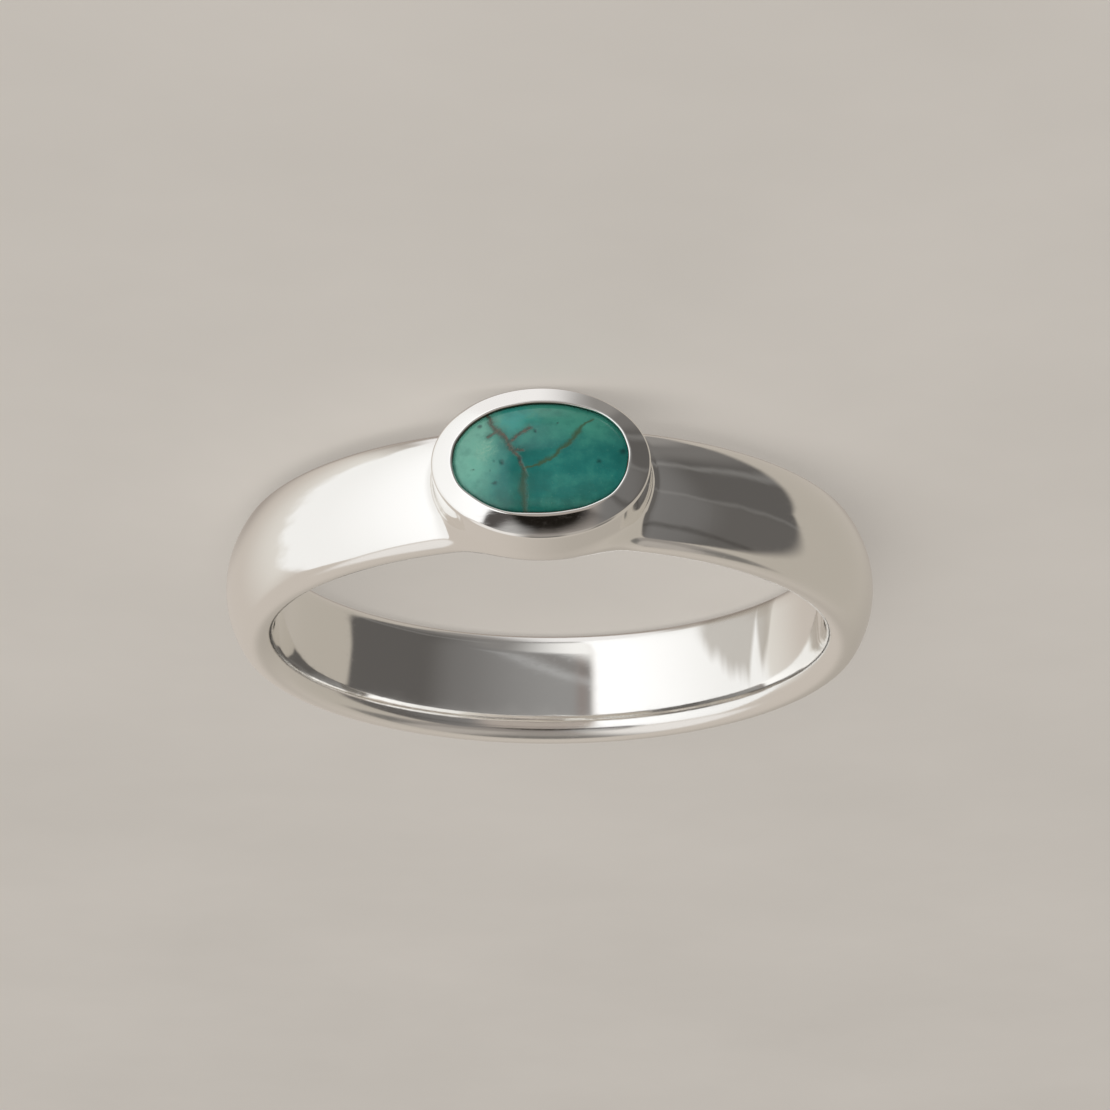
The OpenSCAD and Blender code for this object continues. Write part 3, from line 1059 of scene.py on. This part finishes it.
# Its tones: to the right and at the far right, low on the right, straight ahead, at the brown post, and
# high ahead
ROOM_RIGHT_SPAN = (48.0, 66.0)
ROOM_MIDDLE = (0.165, 0.158, 0.152)
ROOM_RIGHT = (0.122, 0.114, 0.107)
ROOM_LOW_RISE = (-0.1, -0.25)
ROOM_LOW_TURN = (40.0, 60.0)
ROOM_LOW_RIGHT = (0.112, 0.105, 0.099)
ROOM_AHEAD_SPAN = (52.0, -8.0)
ROOM_AHEAD = (0.29, 0.285, 0.278)
POST = (-14.0, 5.0)
POST_BROWN = (0.27, 0.24, 0.225)
WARM_TURN = (36.0, 22.0)
WARM_RISE = (-0.08, 0.06)
WARM_AHEAD = (0.42, 0.37, 0.33)
# Uneven lines of light and dark in it, each with its height, its reach, its share and its colour
LINE_RIPPLE = 0.12
LINE_LIGHT = (0.5, 0.49, 0.47)
LINE_DARK = (0.05, 0.045, 0.04)
ROOM_LINES = [(-0.2, 0.05, 0.12, LINE_LIGHT), (0.4, 0.06, 0.5, LINE_DARK), (-0.69, 0.065, 0.2, LINE_LIGHT)]
ROOM_FOOT_RISE = (-0.72, -0.86)
ROOM_FOOT_SHARE = 0.35
ROOM_FOOT = (0.3, 0.285, 0.27)


def add_dark_room(colour, turn, rise, ripple):
    high = rise.most(0.0)
    low = (ROOM_LOW - rise).most(0.0)
    end = ROOM_END - high * high * ROOM_END_HIGH + (low * ROOM_END_LOW).least(ROOM_END_MOST)
    softness = (abs(rise - ROOM_SHARP_RISE) * ROOM_SOFTENING).least(ROOM_SOFTNESS[1]) + ROOM_SOFTNESS[0]
    room = turn.step(*ROOM_BEGIN) * (turn - end).step(softness, softness * ROOM_EDGE_LEAN)
    room = room * rise.step(*ROOM_TOP)
    dark = turn.step(*ROOM_RIGHT_SPAN).mix(rgb(*ROOM_MIDDLE), rgb(*ROOM_RIGHT))
    dark = (rise.step(*ROOM_LOW_RISE) * turn.step(*ROOM_LOW_TURN)).mix(dark, rgb(*ROOM_LOW_RIGHT))
    dark = turn.step(*ROOM_AHEAD_SPAN).mix(dark, rgb(*ROOM_AHEAD))
    dark = turn.near(*POST).mix(dark, rgb(*POST_BROWN))
    dark = (turn.step(*WARM_TURN) * rise.step(*WARM_RISE)).mix(dark, rgb(*WARM_AHEAD))
    wavy = rise + ripple * LINE_RIPPLE
    for height, reach, share, tone in ROOM_LINES:
        dark = (wavy.near(height, reach) * share).mix(dark, rgb(*tone))
    dark = (rise.step(*ROOM_FOOT_RISE) * ROOM_FOOT_SHARE).mix(dark, rgb(*ROOM_FOOT))
    return room.mix(colour, add_low_light(dark, turn, rise))


# Low down beside the window the room turns light again: below a leaning edge with a dark band and a light
# streak
LOW_LEAN_FROM = -14.0
LOW_LEAN = 0.0028
DARK_BAND = (-0.375, 0.03)
DARK_BAND_TURN = (20.0, -4.0)
DARK_BAND_SHARE = 0.6
DARK_BAND_TONE = (0.19, 0.175, 0.165)
STREAK = (-0.335, 0.024)
STREAK_TURN = (40.0, 12.0)
LIGHT_STREAK_SHARE = 0.5
STREAK_TONE = (0.52, 0.52, 0.52)
LOW_LIGHT_EDGE = (-0.39, -0.45)
LOW_LIGHT_TURN = (44.0, 20.0)
LOW_LIGHT_RISE = (-0.9, -0.78)
LOW_TONE_SPAN = (24.0, -14.0)
LOW_GREY = (0.24, 0.23, 0.22)
LOW_WHITE = (0.95, 0.94, 0.92)


def add_low_light(dark, turn, rise):
    edge = rise + (turn - LOW_LEAN_FROM) * LOW_LEAN
    band = edge.near(*DARK_BAND) * turn.step(*DARK_BAND_TURN) * DARK_BAND_SHARE
    dark = band.mix(dark, rgb(*DARK_BAND_TONE))
    streak = edge.near(*STREAK) * turn.step(*STREAK_TURN) * LIGHT_STREAK_SHARE
    dark = streak.mix(dark, rgb(*STREAK_TONE))
    low_light = edge.step(*LOW_LIGHT_EDGE) * turn.step(*LOW_LIGHT_TURN) * rise.step(*LOW_LIGHT_RISE)
    return low_light.mix(dark, turn.step(*LOW_TONE_SPAN).mix(rgb(*LOW_GREY), rgb(*LOW_WHITE)))


# High up in front, a ceiling: black in the middle, dark grey beside it, lighter further up, with a grey
# patch. Its lower edge is a little higher near its left end
CEILING_RIGHT = (42.0, 22.0)
CEILING_LEFT = (-45.0, -41.0)
CEILING_EDGE = (0.54, 0.59)
CEILING_TOP = (0.9, 0.76)
CEILING_LIFT_TURN = (-35.0, -40.0)
CEILING_LIFT = 0.05
BLACK_TURN = 2.0
BLACK_SPAN = (13.0, 25.0)
CEILING_BLACK = (0.011, 0.009, 0.007)
CEILING_GREY = (0.08, 0.072, 0.068)
FADE_SPAN = (0.67, 0.76)
FADE_FROM = 6.0
FADE_LEAN = 0.004
CEILING_FADED = (0.26, 0.235, 0.215)
PATCH = (-24.0, 22.0)
PATCH_RISE = (0.65, 0.69)
PATCH_GREY = (0.44, 0.43, 0.42)


def add_ceiling(colour, turn, rise):
    front = turn.step(*CEILING_RIGHT) * turn.step(*CEILING_LEFT)
    lifted = rise - turn.step(*CEILING_LIFT_TURN) * CEILING_LIFT
    ceiling = lifted.step(*CEILING_EDGE) * rise.step(*CEILING_TOP) * front
    tone = abs(turn - BLACK_TURN).step(*BLACK_SPAN).mix(rgb(*CEILING_BLACK), rgb(*CEILING_GREY))
    fade = rise + (turn - FADE_FROM).most(0.0) * FADE_LEAN
    tone = fade.step(*FADE_SPAN).mix(tone, rgb(*CEILING_FADED))
    tone = (turn.near(*PATCH) * rise.step(*PATCH_RISE)).mix(tone, rgb(*PATCH_GREY))
    return ceiling.mix(colour, tone)


# Straight up, bright on the left and grey on the right. Towards the floor, white on the left and grey on
# the right
TOP_SPAN = (0.66, 0.76)
TOP_AHEAD = (-0.45, -0.3)
TOP_LEFT_SPAN = (-0.3, -0.1)
TOP_LEFT = (0.82, 0.79, 0.76)
TOP_RIGHT_SPAN = (-0.1, 0.15)
TOP_RIGHT_BACK = (0.18, 0.17, 0.155)
TOP_RIGHT_FRONT = (0.3, 0.275, 0.25)
ZENITH_RISE = (0.84, 0.9)
ZENITH_RIGHT = (0.12, 0.25)
ZENITH = (0.42, 0.385, 0.35)
FLOOR_SPAN = (-0.89, -0.94)
FLOOR_RIGHT_SPAN = (-0.05, 0.25)
BELOW_LEFT = (0.9, 0.88, 0.87)
BELOW_RIGHT = (0.27, 0.255, 0.24)


def add_top(colour, rise, ahead, right):
    tone = ahead.step(*TOP_RIGHT_SPAN).mix(rgb(*TOP_RIGHT_BACK), rgb(*TOP_RIGHT_FRONT))
    tone = (rise.step(*ZENITH_RISE) * right.step(*ZENITH_RIGHT)).mix(tone, rgb(*ZENITH))
    tone = right.step(*TOP_LEFT_SPAN).mix(rgb(*TOP_LEFT), tone)
    return (rise.step(*TOP_SPAN) * ahead.step(*TOP_AHEAD)).mix(colour, tone)


def studio_world():
    """The studio by direction. Polished surfaces see it. The floor and the stone's own colour are lit by
    the two soft lights instead. A tall white window stands on the left, a dark room on the right, and
    pale walls all round, with a black ceiling in front."""
    world = bpy.data.worlds.new("studio")
    bpy.context.scene.world = world
    world.use_nodes = True
    world.cycles_visibility.diffuse = False
    tree = world.node_tree
    direction = Wire(tree).node("ShaderNodeTexCoord", {}, {}, "Generated")
    x, y, z = [direction.node("ShaderNodeSeparateXYZ", {}, {0: direction}, axis) for axis in range(3)]
    sin, cos = math.sin(REST_TILT), math.cos(REST_TILT)
    rise = y * sin + z * cos
    ahead = z * sin - y * cos
    right = -x
    turn = x.math("ARCTAN2", right, ahead) * math.degrees(1) - math.degrees(VIEW_LEAN)
    ripple = direction.noise(*RIPPLE_NOISE) - 0.5

    colour = pale_walls(turn, rise, ahead, right)
    colour = add_dark_room(colour, turn, rise, ripple)
    colour = add_window(colour, turn, rise, ripple)
    colour = add_top(colour, rise, ahead, right)
    colour = add_ceiling(colour, turn, rise)
    below = right.step(*FLOOR_RIGHT_SPAN).mix(rgb(*BELOW_LEFT), rgb(*BELOW_RIGHT))
    colour = rise.step(*FLOOR_SPAN).mix(colour, below)
    background = tree.nodes["Background"]
    tree.links.new(colour.socket, background.inputs["Color"])
    background.inputs["Strength"].default_value = 1.0


def soft_light(name, place, size, power, tint):
    """A wide soft disk of light that faces the ring. Reflections see the studio instead of it."""
    light = bpy.data.lights.new(name, "AREA")
    light.shape = "DISK"
    light.size = size
    light.energy = power
    light.color = tint
    lamp = bpy.data.objects.new(name, light)
    lamp.location = place
    lamp.rotation_euler = (-Vector(place)).to_track_quat("-Z", "Y").to_euler()
    lamp.visible_glossy = False
    bpy.context.scene.collection.objects.link(lamp)


make_camera()
make_floor()
studio_world()
soft_light("overhead_light", OVERHEAD_PLACE, OVERHEAD_SIZE, OVERHEAD_POWER, OVERHEAD_TINT)
soft_light("front_light", FRONT_PLACE, FRONT_SIZE, FRONT_POWER, FRONT_TINT)
bpy.context.scene.view_settings.view_transform = "Standard"
